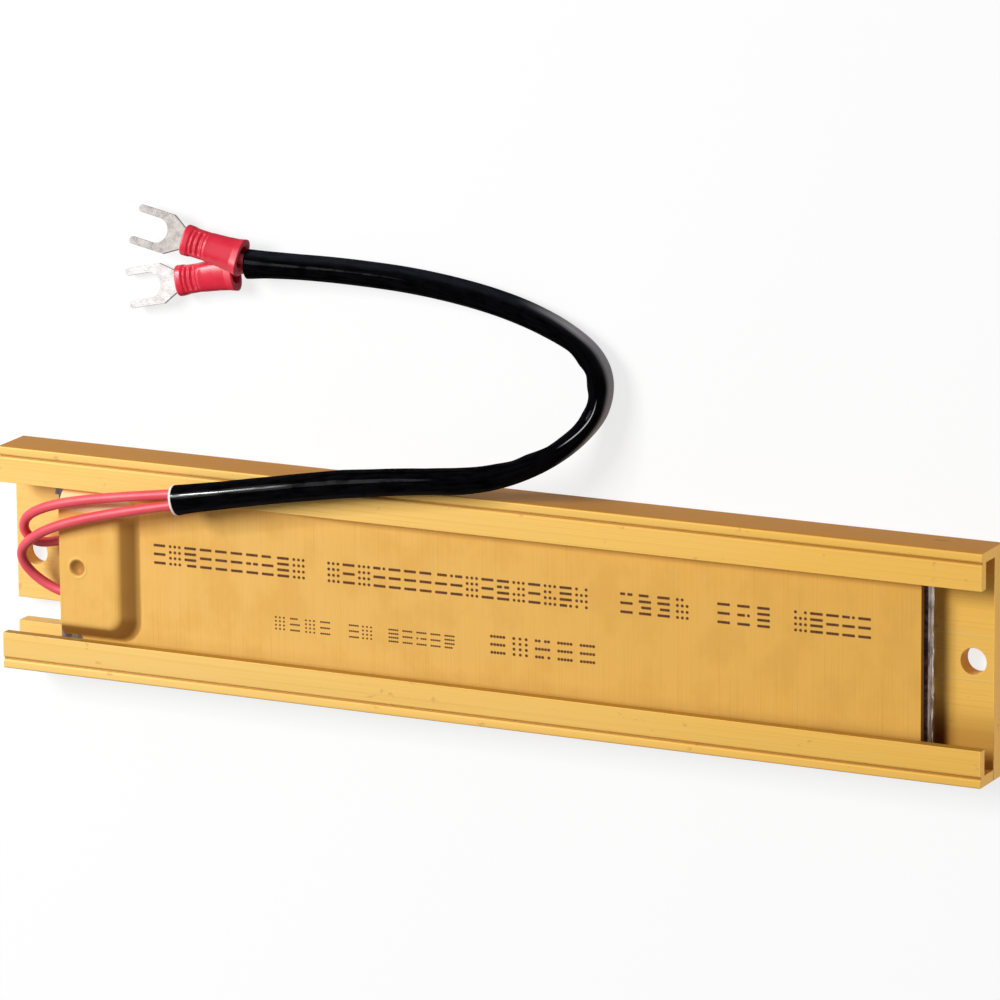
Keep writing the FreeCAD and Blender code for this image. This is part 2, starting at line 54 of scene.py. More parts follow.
# Leads: two stranded copper wires in red silicone-like insulation, 1.8 mm across. They leave the
# crimps under the pressed pocket, turn back over the end bay and run to the forks.
MM = 0.001
LEAD_END = -95.0
LEAD_DIAMETER = 1.8
LEAD_ROUTES = {   # X from the housing's lead end, Y and Z
    "upper": [
        (15.4, 3.9, 6.1),
        (11.6, 3.9, 6.1), (8.3, 3.0, 6.5), (5.8, 3.2, 7.3), (4.3, 5.4, 8.4),
        (5.5, 8.1, 9.6), (9.0, 10.2, 10.5), (15.0, 12.2, 11.2), (24.0, 14.0, 11.7),
        (36.0, 15.85, 12.0), (46.0, 17.5, 12.5), (57.0, 19.3, 13.0), (71.0, 21.2, 13.0),
        (85.0, 23.35, 13.0), (96.6, 24.05, 12.3), (105.2, 26.6, 10.05), (111.7, 30.6, 6.65),
        (115.8, 35.1, 4.0), (116.9, 40.1, 3.55), (115.4, 45.5, 3.55), (110.5, 49.45, 3.55),
        (98.9, 53.75, 3.55), (83.0, 56.35, 3.55), (68.0, 57.0, 3.8), (56.5, 57.0, 4.1),
        (52.0, 57.0, 4.35), (49.1, 56.9, 4.32), (46.9, 58.2, 4.75), (44.1, 58.73, 4.6)],
    "lower": [
        (15.4, -6.1, 6.25),
        (11.6, -6.1, 6.25), (7.4, -4.6, 6.5), (4.3, -1.9, 7.4), (3.6, 1.2, 8.5),
        (6.0, 3.9, 9.6), (10.4, 6.6, 10.5), (17.5, 9.2, 11.2), (26.0, 11.5, 11.7),
        (36.0, 13.8, 12.0), (46.0, 15.8, 11.5), (57.0, 18.2, 11.0), (71.0, 21.2, 11.0),
        (85.0, 23.35, 11.0), (96.6, 24.05, 10.3), (105.2, 26.6, 7.95), (111.7, 30.6, 4.55),
        (115.8, 35.1, 2.0), (116.9, 40.1, 1.55), (115.4, 45.5, 1.55), (110.5, 49.45, 1.55),
        (98.9, 53.75, 1.55), (83.0, 56.35, 1.55), (68.0, 57.0, 1.8), (56.5, 56.9, 2.1),
        (51.5, 56.7, 2.4), (48.1, 56.32, 2.72), (44.7, 54.7, 2.0), (41.3, 53.93, 1.95)]}


def from_lead_end(points):
    """Route points in metres, from points measured in X from the housing's lead end."""
    return [Vector(((LEAD_END + x) * MM, y * MM, z * MM)) for x, y, z in points]


def add_object(name, data):
    """A new object in the scene that holds the data."""
    made = bpy.data.objects.new(name, data)
    bpy.context.collection.objects.link(made)
    return made


def route_curve(name, points, diameter):
    """A smooth curve with the route's points as its control points."""
    curve = bpy.data.curves.new(name, "CURVE")
    curve.dimensions = "3D"
    curve.resolution_u = 10
    spline = curve.splines.new("NURBS")
    spline.points.add(len(points) - 1)
    for control, point in zip(spline.points, points):
        control.co = (*point, 1.0)
    spline.order_u = 3
    spline.use_endpoint_u = True
    curve.bevel_depth = diameter / 2 * MM
    curve.bevel_resolution = 7
    curve.use_fill_caps = diameter > 0
    return add_object(name, curve)


class Signal:
    """A value in a node tree that takes part in plain arithmetic."""

    def __init__(self, tree, socket=None):
        self.tree = tree
        self.socket = socket

    def node(self, kind, settings, sockets, output=0):
        """Add a node: its settings first, then the values or links of its sockets."""
        made = self.tree.nodes.new(kind)
        for name, value in settings.items():
            setattr(made, name, value)
        for name, value in sockets.items():
            if isinstance(value, Signal):
                self.tree.links.new(value.socket, made.inputs[name])
            else:
                made.inputs[name].default_value = value
        return Signal(self.tree, made.outputs[output])

    def maths(self, operation, first, second=0.0):
        return self.node("ShaderNodeMath", {"operation": operation}, {0: first, 1: second})

    def __add__(self, other):
        return self.maths("ADD", self, other)

    __radd__ = __add__

    def __sub__(self, other):
        return self.maths("SUBTRACT", self, other)

    def __rsub__(self, other):
        return self.maths("SUBTRACT", other, self)

    def __mul__(self, other):
        return self.maths("MULTIPLY", self, other)

    __rmul__ = __mul__

    def __truediv__(self, other):
        return self.maths("DIVIDE", self, other)

    def __lt__(self, other):
        return self.maths("LESS_THAN", self, other)

    def __gt__(self, other):
        return self.maths("GREATER_THAN", self, other)

    def __abs__(self):
        return self.maths("ABSOLUTE", self)

    def wave(self):
        """The sine of the signal, in radians."""
        return self.maths("SINE", self)

    def axis(self, number):
        """The X, Y or Z of a vector, by its number from 0."""
        return self.node("ShaderNodeSeparateXYZ", {}, {0: self}, number)

    def step(self, low, high):
        """0 at low, 1 at high, and smooth between."""
        return self.node("ShaderNodeMapRange", {"interpolation_type": "SMOOTHSTEP"},
                         {0: self, 1: low, 2: high})

    def blend(self, first, second):
        """Mix two colours, with this signal as the share of the second."""
        return self.node("ShaderNodeMix", {"data_type": "RGBA"}, {0: self, 6: first, 7: second}, 2)


def shade(red, green, blue):
    """A colour as it is seen on a screen, from 0 to 255, in Blender's linear light."""
    seen = [value / 255 for value in (red, green, blue)]
    return (*[v / 12.92 if v <= 0.04045 else ((v + 0.055) / 1.055) ** 2.4 for v in seen], 1.0)


class Finish:
    """A material with one principled shader, and the place it is read at."""

    def __init__(self, name, **constants):
        self.material = bpy.data.materials.new(name)
        self.material.use_nodes = True
        tree = self.material.node_tree
        self.shader = tree.nodes["Principled BSDF"]
        for socket, value in constants.items():
            self.shader.inputs[socket.replace("_", " ")].default_value = value
        self.signal = Signal(tree)
        self.place = self.signal.node("ShaderNodeTexCoord", {}, {}, 3)
        self.x, self.y, self.z = [self.place.axis(number) for number in range(3)]

    def noise(self, place, scale, detail, roughness):
        """Noise read at a place, whose axes are scaled first."""
        scaled = self.signal.node("ShaderNodeMapping", {}, {"Vector": place, "Scale": scale})
        return self.signal.node("ShaderNodeTexNoise", {}, {
            "Vector": scaled, "Scale": 1.0, "Detail": detail, "Roughness": roughness})

    def grain(self, sizes, detail=3.0, roughness=0.55):
        """Noise whose cells have the given sizes in millimetres along X, Y and Z."""
        return self.noise(self.place, [1 / (size * MM) for size in sizes], detail, roughness)

    def feed(self, **links):
        """Link signals to the shader's sockets by name."""
        for socket, value in links.items():
            self.signal.tree.links.new(value.socket, self.shader.inputs[socket.replace("_", " ")])

    def relief(self, height, depth):
        """Bump by a height signal, at a depth in millimetres."""
        self.feed(Normal=self.signal.node("ShaderNodeBump", {}, {
            "Height": height, "Distance": depth * MM, "Strength": 1.0}))


red_insulation = Finish("red_insulation")
smudge = red_insulation.grain((6.0, 6.0, 6.0))
fine = red_insulation.grain((0.25, 0.25, 0.25), 2.0)
red_insulation.feed(
    Base_Color=smudge.blend(shade(226, 62, 78), shade(244, 98, 108)),
    Roughness=0.36 + 0.16 * fine)
red_insulation.relief(fine, 0.015)

leads = {}
for side, route in LEAD_ROUTES.items():
    leads[side] = route_curve(f"red_lead_{side}", from_lead_end(route), LEAD_DIAMETER)
    leads[side].data.materials.append(red_insulation.material)


# Sleeve: one black varnished glass-fibre sleeve, 5 mm across, pulled over both leads. It lies along
# the lip and folds beside the channel, where its inner side creases and a painted sheen pales it.
# Its lead end is cut raw, so the white fibre shows round the mouth.
SLEEVE_DIAMETER = 5.0
SLEEVE_WALL = 0.4
SLEEVE_POINTS = [
    (37.4, 14.95, 12.0), (46.0, 16.7, 12.0), (57.0, 18.8, 12.0), (71.0, 21.2, 12.0),
    (85.0, 23.35, 12.0), (96.6, 24.05, 11.3), (105.2, 26.6, 9.0), (111.7, 30.6, 5.6),
    (115.8, 35.1, 3.0), (116.9, 40.1, 2.55), (115.4, 45.5, 2.55), (110.5, 49.45, 2.55),
    (98.9, 53.75, 2.55), (83.0, 56.35, 2.55), (68.0, 57.0, 2.8), (56.5, 56.95, 3.1),
    (48.3, 56.75, 3.65)]
SLEEVE_SIDES = [   # place along it, then how far its inner and outer sides are from the middle line
    (0, 2.66, 2.84), (1.5, 2.58, 2.70), (4, 2.52, 2.60), (10, 2.37, 2.56), (20, 2.40, 2.46),
    (30, 2.52, 2.44), (34, 2.58, 2.45), (40, 2.34, 2.52), (50, 2.13, 2.50), (57, 2.32, 2.40),
    (64, 2.26, 2.12), (67, 2.00, 2.02), (70, 2.20, 1.92), (74, 1.78, 1.82), (77, 1.95, 1.70),
    (80, 2.02, 1.52), (82, 2.20, 1.42), (83.7, 2.45, 1.42), (86.5, 2.30, 1.55), (88.2, 2.26, 1.74),
    (89.8, 2.66, 1.94), (91.2, 2.48, 2.06), (92.7, 2.10, 2.12), (94, 2.26, 2.06),
    (95.5, 2.54, 2.02), (97, 2.20, 2.00), (98.7, 1.85, 1.98), (101, 2.00, 2.05),
    (104, 2.14, 2.18), (110, 2.22, 2.24), (130, 2.26, 2.24), (154, 2.16, 2.33), (160, 2.30, 2.48),
    (162.4, 2.52, 2.60), (164, 2.64, 2.70)]
SLEEVE_RING = 48
RING_SPACING = 0.4
SQUEEZE = 0.4          # share of the width lost at its sides that the sleeve gains in height
MOUTH_FLARE = 0.06
WEAVE_ALONG = 4.2      # the weave's angle, in radians, for each millimetre along
WEAVE_ROUND = 75.4     # and for each turn round: 12 threads
GLINT_START = -0.185     # the painted glint line: the turn at which it would start,
GLINT_SLOPE = 0.0052     # and the turn it gains for each millimetre along


def points_along(curve_object):
    """The points of a curve's own smooth line, evenly spaced."""
    evaluated = curve_object.evaluated_get(bpy.context.evaluated_depsgraph_get())
    line = bpy.data.meshes.new_from_object(evaluated)
    points = np.array([vertex.co for vertex in line.vertices])
    steps = np.linalg.norm(np.diff(points, axis=0), axis=1)
    travelled = np.concatenate([[0], np.cumsum(steps)])
    even = np.linspace(0, travelled[-1], int(travelled[-1] / (RING_SPACING * MM)))
    spread = [np.interp(even, travelled, points[:, axis]) for axis in range(3)]
    return np.stack(spread, axis=1), even


def loft(name, rings):
    """A closed mesh through rings of equal count, the last ring joined to the first."""
    count = len(rings[0])
    vertices = [tuple(point) for ring in rings for point in ring]
    faces = []
    for span in range(len(rings)):
        here = span * count
        there = (span + 1) % len(rings) * count
        for corner in range(count):
            follow = (corner + 1) % count
            faces.append((here + corner, here + follow, there + follow, there + corner))
    mesh = bpy.data.meshes.new(name)
    mesh.from_pydata(vertices, [], faces)
    turn_faces_out(mesh)
    mesh.shade_smooth()
    return mesh


def turn_faces_out(mesh):
    """Point the faces of a closed mesh outwards."""
    shell = bmesh.new()
    shell.from_mesh(mesh)
    bmesh.ops.recalc_face_normals(shell, faces=shell.faces)
    shell.to_mesh(mesh)
    shell.free()


def frames_along(points):
    """Side and rising directions square to a line, with the side kept level."""
    heading = np.gradient(points, axis=0)
    heading /= np.linalg.norm(heading, axis=1)[:, None]
    side = np.cross([0.0, 0.0, 1.0], heading)
    side /= np.linalg.norm(side, axis=1)[:, None]
    return side, np.cross(heading, side)


guide = route_curve("sleeve_line", from_lead_end(SLEEVE_POINTS), 0.0)
sleeve_points, sleeve_travel = points_along(guide)
bpy.data.objects.remove(guide)
sleeve_side, sleeve_up = frames_along(sleeve_points)
places, inner, outer = np.array(SLEEVE_SIDES).T * MM
smoothing = np.array([1, 2, 3, 2, 1]) / 9
half_inner, half_outer = (
    np.convolve(np.pad(np.interp(sleeve_travel, places, sides), 2, "edge"), smoothing, "valid")
    for sides in (inner, outer))
half_rise = (SLEEVE_DIAMETER * MM * (1 + SQUEEZE) - SQUEEZE * (half_inner + half_outer)) / 2
lift = half_rise - SLEEVE_DIAMETER / 2 * MM
around = np.linspace(0, 2 * math.pi, SLEEVE_RING, endpoint=False)


def sleeve_ring(at, inset):
    """One ring of the sleeve, inset from its outer face."""
    half_side = np.where(np.cos(around) > 0, half_inner[at], half_outer[at])
    across = (half_side - inset) * np.cos(around)
    rise = (half_rise[at] - inset) * np.sin(around) + lift[at]
    return sleeve_points[at] + across[:, None] * sleeve_side[at] + rise[:, None] * sleeve_up[at]


ring_count = len(sleeve_points)
outer_rings = [sleeve_ring(at, 0.0 if at else -MOUTH_FLARE * MM) for at in range(ring_count)]
inner_rings = [sleeve_ring(at, SLEEVE_WALL * MM) for at in reversed(range(ring_count))]
sleeve = add_object("black_sleeve", loft("black_sleeve", outer_rings + inner_rings))
wrap = sleeve.data.uv_layers.new(name="wrap").data
cut_spans = (0, ring_count - 1, ring_count, 2 * ring_count - 1)
for face in sleeve.data.polygons:
    rings_of, turns_of = zip(*(divmod(corner, SLEEVE_RING) for corner in face.vertices))
    seam = max(turns_of) - min(turns_of) > 1
    for loop, ring, turn in zip(face.loop_indices, rings_of, turns_of):
        whole_turn = SLEEVE_RING if seam and turn == 0 else turn
        wrap[loop].uv = (ring * RING_SPACING, whole_turn / SLEEVE_RING)
    face.material_index = 1 if face.index // SLEEVE_RING in cut_spans else 0

# The wrap map holds the millimetres along the sleeve and the share of a turn round it. Painted
# sheen lightens its outer side and the fold, where the varnish is glossier, a painted glint line
# runs along the fold, and the varnish is polished by the mouth.
black_sleeving = Finish("black_sleeving", Specular_IOR_Level=0.0, Coat_Roughness=0.06)
wrap_place = black_sleeving.signal.node("ShaderNodeUVMap", {"uv_map": "wrap"}, {})
along, turn = wrap_place.axis(0), wrap_place.axis(1)
glaze = black_sleeving.grain((2.6, 2.6, 2.6), 3.0)
streak = black_sleeving.noise(wrap_place, (0.25, 26.0, 1.0), 3.0, 0.6)
outer_sheen = turn.step(0.33, 0.41) * turn.step(0.66, 0.56) * (0.6 + 0.4 * streak.step(0.3, 0.6))
# Painted sheen round the fold's outer side, where the varnish is also glossier.
fold_sheen = (along.step(72, 82) * along.step(112, 98)
             * turn.step(0.38, 0.46) * turn.step(0.66, 0.56))
polished = along.step(26, 18) * turn.step(0.145, 0.16) * turn.step(0.2, 0.185)
# A thin painted glint line along the fold.
off_glint_line = abs(turn - (GLINT_SLOPE * along + GLINT_START))
painted_glint = along.step(75, 79) * along.step(88, 85) * off_glint_line.step(0.011, 0.004)
weave = ((along * WEAVE_ALONG + turn * WEAVE_ROUND).wave()
         * (along * WEAVE_ALONG - turn * WEAVE_ROUND).wave())
# The black is lightened by painted sheen on the outer side and the fold, and by a painted glint
# line.
black = streak.step(0.35, 0.75).blend(shade(1, 1, 2), shade(8, 8, 11))
black = (0.6 * outer_sheen).blend(black, shade(40, 41, 50))
black = (0.85 * fold_sheen).blend(black, shade(212, 209, 215))
black = (0.85 * painted_glint).blend(black, shade(206, 206, 210))
varnished = (glaze * 0.6 + streak * 0.4).step(0.36, 0.58)
black_sleeving.feed(
    Base_Color=black,
    Roughness=0.42 + 0.3 * streak,
    Coat_Weight=(0.008 + 0.03 * varnished + 0.2 * fold_sheen
                 + 0.45 * polished * streak.step(0.3, 0.5)))
black_sleeving.relief(glaze * 0.75 + streak * 0.35 + weave * 0.05, 0.16)
cut_fibre = Finish("cut_fibre", Roughness=0.8)
fibre = cut_fibre.grain((0.2, 0.2, 0.2), 2.0)
cut_fibre.feed(Base_Color=fibre.blend(shade(206, 196, 192), shade(250, 246, 243)))
cut_fibre.relief(fibre, 0.05)
sleeve.data.materials.append(black_sleeving.material)
sleeve.data.materials.append(cut_fibre.material)


# Fork terminals: tin-plated copper forks stamped from 0.8 mm sheet, each crimped in a red vinyl
# grip. The grip's mouth takes the lead, and the crimp tool leaves three ridges near its front.
GRIP_LENGTH = 11.6
TERMINAL_ROLL = {"upper": 17.0, "lower": 9.0}   # degrees about the lead
GRIP_SLOT = (3.3, 0.9)  # the opening that the fork comes out of
BELL_DEPTH = 3.6        # how far the lead's end reaches into the grip
GRIP_RING = 96
GRIP_RINGS = 130
GRIP_SQUARENESS = 2.7   # 2 is an ellipse, and more is squarer
GRIP_WIDTHS = [         # distance from the front, then the width there
    (0, 5.45), (0.2, 5.6), (1.1, 5.5), (1.9, 5.2), (4.4, 5.15), (5.4, 5.35), (8.0, 5.65),
    (10.2, 6.1), (11.6, 6.65)]
GRIP_HEIGHTS = [
    (0, 3.4), (0.2, 3.65), (1.1, 3.7), (1.9, 3.65), (4.4, 3.65), (5.6, 3.55), (8.0, 3.55),
    (10.2, 3.6), (11.6, 3.8)]
GRIP_BORE = [           # distance from the rear, width, height and squareness, through to the bell
    (GRIP_LENGTH + 0.1, 5.1, 3.1, GRIP_SQUARENESS), (GRIP_LENGTH + 0.1, *GRIP_SLOT, 6.0),
    (GRIP_LENGTH - 1.5, *GRIP_SLOT, 6.0), (GRIP_LENGTH - 2.0, 3.1, 3.0, 2.0),
    (BELL_DEPTH, 3.1, 3.0, 2.0), (0.4, 3.5, 2.4, 2.1), (0.02, 3.9, 2.7, 2.2),
    (-0.12, 4.4, 3.0, 2.4), (-0.12, 6.3, 3.6, GRIP_SQUARENESS)]
CRIMP = (1.25, 4.75)    # ends of the crimped hollow, from the grip's front
CRIMP_SLOPES = (0.4, 0.7)
CRIMP_SIDE = 0.43       # share of the grip's width at which the hollow ends,
CRIMP_FADE = 0.09       # and in which it rises to its end
CRIMP_DEPTH = 0.3
CRIMP_BOW = 0.3         # how far the ridges' ends lie behind their middles
CRIMP_RIDGES = (1.95, 3.05, 4.15)
RIDGE_REACH = 0.3
RIDGE_SHARE = 0.9       # of the hollow's depth that a ridge fills


def merged_copy(name, node):
    """A clean copy of a CAD node's mesh, its triangles joined into flat faces."""
    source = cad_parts[node]
    mesh = bpy.data.meshes.new(name)
    shell = bmesh.new()
    shell.from_mesh(source.data)
    bmesh.ops.transform(shell, matrix=source.matrix_world, verts=shell.verts)
    bmesh.ops.remove_doubles(shell, verts=shell.verts, dist=0.002 * MM)
    bmesh.ops.dissolve_limit(shell, angle_limit=math.radians(0.5),
                             verts=shell.verts, edges=shell.edges)
    shell.to_mesh(mesh)
    shell.free()
    return add_object(name, mesh)


def soften(piece, width, angle):
    """Round the edges of a piece that are sharper than an angle, and shade the rest smooth."""
    bevel = piece.modifiers.new("worn edges", "BEVEL")
    bevel.width = width * MM
    bevel.segments = 2
    bevel.limit_method = "ANGLE"
    bevel.angle_limit = math.radians(angle)
    bevel.harden_normals = True
    piece.data.shade_smooth()
    piece.data.set_sharp_from_angle(angle=math.radians(angle))


def grip_rings(rear, heading, roll):
    """Rings of a grip: outer face from the rear, over the front, back through the bore."""
    level = Vector((0, 0, 1)).cross(heading).normalized()
    side = Matrix.Rotation(math.radians(roll), 3, heading) @ level
    normal = heading.cross(side)
    angles = np.linspace(0, 2 * math.pi, GRIP_RING, endpoint=False)

    def ring(along, width, height, power):
        across = np.sign(np.cos(angles)) * np.abs(np.cos(angles)) ** (2 / power) * width / 2
        rise = np.sign(np.sin(angles)) * np.abs(np.sin(angles)) ** (2 / power) * height / 2
        place = GRIP_LENGTH - along - CRIMP_BOW * (2 * across / width) ** 2
        edge = np.clip(np.minimum((place - CRIMP[0]) / CRIMP_SLOPES[0],
                                  (CRIMP[1] - place) / CRIMP_SLOPES[1]), 0, 1)
        inside = np.clip((CRIMP_SIDE * width - np.abs(across)) / (CRIMP_FADE * width), 0, 1)
        ridge = np.max([np.exp(-((place - middle) / RIDGE_REACH) ** 2)
                        for middle in CRIMP_RIDGES], axis=0)
        hollow = CRIMP_DEPTH * edge * inside * (1 - RIDGE_SHARE * ridge)
        rise = rise - np.sign(rise) * np.where(np.abs(rise) > CRIMP_DEPTH, hollow, 0)
        return [rear + heading * (along * MM) + side * (to_side * MM) + normal * (up * MM)
                for to_side, up in zip(across, rise)]

    rings = []
    for along in np.linspace(0, GRIP_LENGTH, GRIP_RINGS):
        place = GRIP_LENGTH - along
        rings.append(ring(along, np.interp(place, *zip(*GRIP_WIDTHS)),
                          np.interp(place, *zip(*GRIP_HEIGHTS)), GRIP_SQUARENESS))
    return rings + [ring(*section) for section in GRIP_BORE]


red_vinyl = Finish("red_vinyl", Specular_IOR_Level=0.035, Coat_Roughness=0.26)
cloud = red_vinyl.grain((2.5, 2.5, 2.5))
pit = red_vinyl.grain((0.3, 0.3, 0.3), 2.0)
facing = red_vinyl.signal.node("ShaderNodeNewGeometry", {}, {}, 1).axis(0)   # 1 is +X
red = cloud.blend(shade(212, 40, 60), shade(232, 58, 78))
# Faces turned to +X, the grips' rear ends, are painted paler red: painted light.
red = (0.8 * facing.step(0.55, 0.85)).blend(red, shade(255, 122, 138))
red_vinyl.feed(Base_Color=red, Roughness=0.18 + 0.16 * pit,
               Coat_Weight=0.85 * facing.step(-0.04, -0.12))
red_vinyl.relief(pit, 0.02)

tinned_copper = Finish("tinned_copper", Metallic=0.35)
speckle = tinned_copper.grain((0.3, 0.3, 0.3), 3.0, 0.6)
dent = tinned_copper.grain((1.4, 1.4, 1.4), 2.0)
# The upper fork is painted darker than the lower: painted shade.
upper_fork_shade = tinned_copper.y.step(55 * MM, 57.5 * MM)
tin = (0.55 * speckle + 0.45 * dent).step(0.3, 0.6)
tinned_copper.feed(
    Base_Color=upper_fork_shade.blend(tin.blend(shade(164, 160, 158), shade(196, 192, 190)),
                            tin.blend(shade(110, 104, 101), shade(160, 154, 150))),
    Roughness=0.44 + 0.2 * speckle)
tinned_copper.relief(speckle * 0.5 + dent, 0.08)

for side, lead in leads.items():
    points = from_lead_end(LEAD_ROUTES[side])
    heading = (points[-1] - points[-2]).normalized()
    rear = points[-1] - heading * (BELL_DEPTH * MM)
    grip_mesh = loft(f"red_grip_{side}", grip_rings(rear, heading, TERMINAL_ROLL[side]))
    grip = add_object(f"red_grip_{side}", grip_mesh)
    grip.data.materials.append(red_vinyl.material)
    fork = merged_copy(f"tinned_fork_{side}", f"fork_{side}")
    soften(fork, 0.12, 40.0)
    fork.data.materials.append(tinned_copper.material)
    for piece, node, finish in ((grip, f"fork_grip_{side}", "red_vinyl"),
                                (fork, f"fork_{side}", "tinned_copper"),
                                (lead, f"lead_{side}", "red_insulation")):
        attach(piece, "root")
        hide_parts(node)

# The sleeve leaves the leads, so it is declared after them.
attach(sleeve, "root")
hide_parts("sleeve")


# Housing: one length of extruded aluminium channel, gold anodised. The die leaves fine lines along
# it and two faint ridges in its floor. Screw holes and the notch are cut before anodising. Shade is
# painted on its outer walls, grooves and low lip face, and a shadow on the floor by the mica's end.
HALF_OUTER = 20.5
LIP_TIP = 13.9
FLOOR_TOP = 3.2
GROOVE_LINE = 18.7
FLOOR_RIDGES = (4.7, -3.2)
anodised_channel = Finish("anodised_channel", Specular_IOR_Level=0.05)
die_lines = anodised_channel.grain((70.0, 0.22, 0.22), 3.0)
cloudy = anodised_channel.grain((45.0, 14.0, 10.0), 2.0)
handled = anodised_channel.grain((2.6, 1.7, 2.0), 3.0)
on_floor = abs(anodised_channel.z - FLOOR_TOP * MM) < 0.2 * MM
ridges = on_floor * sum(abs(anodised_channel.y - ridge * MM) < 0.22 * MM
                        for ridge in FLOOR_RIDGES)
wall_shade = abs(anodised_channel.y).step((HALF_OUTER - 0.2) * MM, (HALF_OUTER - 0.02) * MM)
pale_end = anodised_channel.x.step(95 * MM, -95 * MM)
gold = (0.65 * pale_end + 0.35 * cloudy).blend(shade(255, 198, 90), shade(255, 213, 130))
gold = (0.4 * die_lines.step(0.45, 0.75)).blend(gold, shade(236, 178, 82))
gold = (0.4 * ridges).blend(gold, shade(255, 214, 126))
gold = (0.35 * handled.step(0.66, 0.74)).blend(gold, shade(196, 140, 96))
# The outer walls are painted darker and deeper: painted shade.
gold = (0.9 * wall_shade).blend(gold, shade(206, 134, 24))
# The grooves, the low lip's face to the cover and the floor's low side at the plain end are painted
# darker: painted shade. The strip beside the mica's end holds a painted shadow.
groove_shade = ((abs(abs(anodised_channel.y) - GROOVE_LINE * MM) < 0.2 * MM)
          * (anodised_channel.z > 8.5 * MM))
gold = (0.6 * groove_shade).blend(gold, shade(150, 94, 38))
lip_face_shade = ((abs(anodised_channel.y + LIP_TIP * MM) < 0.12 * MM)
            * (anodised_channel.z > 7.0 * MM) * (anodised_channel.z < 8.96 * MM))
gold = lip_face_shade.blend(gold, shade(186, 142, 56))
low_side_shade = on_floor * anodised_channel.y.step(-6 * MM, -14 * MM)
end_bay = anodised_channel.x.step(82 * MM, 84 * MM)
gold = (0.5 * low_side_shade * end_bay).blend(gold, shade(140, 88, 24))
mica_shadow = (on_floor * anodised_channel.x.step(83.4 * MM, 84.4 * MM)
          * anodised_channel.x.step(87.4 * MM, 85.6 * MM))
gold = (mica_shadow * (0.5 + 0.45 * low_side_shade)).blend(gold, shade(92, 46, 14))
sawn = abs(anodised_channel.x).step(94.8 * MM, 94.98 * MM)
anodised_channel.feed(
    Base_Color=gold, Roughness=0.34 + 0.2 * die_lines, Metallic=0.06 + 0.6 * sawn)
anodised_channel.relief(die_lines + 2.0 * ridges, 0.03)
housing = merged_copy("gold_channel", "housing")
soften(housing, 0.14, 40.0)
housing.data.materials.append(anodised_channel.material)
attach(housing, "root")
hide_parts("housing")


# Cover plate: 1.2 mm sheet pressed up into a pocket over the crimps, gold anodised after rolling,
# with its grain across the plate. The channel's lips hold it down.
COVER_SHEET = 1.2
COVER_TOP = 7.1
COVER_ENDS = (-83.0, 83.3)
HALF_PLATE = 18.3
FOOT_END = -67.6                   # the pocket's foot, on the side of the plain end
HALF_FOOT = 13.55
FOOT_CORNER = 4.0
CORNER_SHRINK = 1.8
END_SLOPE = 4.6
SIDE_SLOPE = 3.4
POCKET_RISE = 2.0
RELIEF_END = -79.7                 # the cut-away corner at the lead end
RELIEF_SIDE = -13.2
DIMPLE = (-79.3, -0.4, 1.6, 0.8)   # X, Y, radius and depth
HALVINGS = 26                      # of the share, which leave an error far under a micrometre


def pocket_share(x, y):
    """How far a point lies from the pocket's foot towards its crest, from 0 to 1."""
    low = np.zeros_like(x)
    high = np.ones_like(x)

    def outside(share):
        corner = FOOT_CORNER - CORNER_SHRINK * share
        out_x = x - (FOOT_END - share * END_SLOPE - corner)
        out_y = np.abs(y) - (HALF_FOOT - share * SIDE_SLOPE - corner)
        beyond = np.hypot(np.maximum(out_x, 0), np.maximum(out_y, 0))
        return beyond + np.minimum(np.maximum(out_x, out_y), 0) - corner

    for _ in range(HALVINGS):
        middle = (low + high) / 2
        inside = outside(middle) < 0
        low = np.where(inside, middle, low)
        high = np.where(inside, high, middle)
    return low


def cover_heights(x, y):
    """The height of the cover's top face, with its pocket, its dimple and the dimple's rim."""
    height = COVER_TOP + POCKET_RISE * np.sin(pocket_share(x, y) * math.pi / 2)
    dimple_x, dimple_y, radius, depth = DIMPLE
    reach = np.hypot(x - dimple_x, y - dimple_y) / radius
    bowl = depth * np.clip(1 - reach ** 2, 0, 1)
    rim = 0.07 * np.exp(-((reach - 1.06) / 0.12) ** 2)
    return height - bowl + rim


def spaced(*runs):
    """Grid lines through runs of (start, end, spacing)."""
    lines = []
    for start, end, spacing in runs:
        count = round((end - start) / spacing)
        lines += [step * (end - start) / count + start for step in range(count)]
    return np.array(lines + [runs[-1][1]])


def sheet_between(name, xs, ys, top, thickness, kept):
    """A closed sheet over a grid: faces where kept says so, on both sides, with walls."""
    grid_x, grid_y = np.meshgrid(xs, ys, indexing="ij")
    heights = top(grid_x, grid_y)
    shell = bmesh.new()
    upper = [[shell.verts.new((x * MM, y * MM, z * MM)) for x, y, z in zip(*row)]
             for row in zip(grid_x, grid_y, heights)]
    for i in range(len(xs) - 1):
        for j in range(len(ys) - 1):
            if kept((xs[i] + xs[i + 1]) / 2, (ys[j] + ys[j + 1]) / 2):
                shell.faces.new((upper[i][j], upper[i + 1][j], upper[i + 1][j + 1],
                                 upper[i][j + 1]))
    bmesh.ops.delete(shell, geom=[v for v in shell.verts if not v.link_faces], context="VERTS")
    sheet = shell.verts[:] + shell.edges[:] + shell.faces[:]
    under = bmesh.ops.duplicate(shell, geom=sheet)["geom"]
    for item in under:
        if isinstance(item, bmesh.types.BMVert):
            item.co.z -= thickness * MM
    under_faces = [item for item in under if isinstance(item, bmesh.types.BMFace)]
    bmesh.ops.reverse_faces(shell, faces=under_faces)
    rims = [edge for edge in shell.edges if edge.is_boundary]
    bmesh.ops.bridge_loops(shell, edges=rims)
    mesh = bpy.data.meshes.new(name)
    shell.to_mesh(mesh)
    shell.free()
    turn_faces_out(mesh)
    return mesh


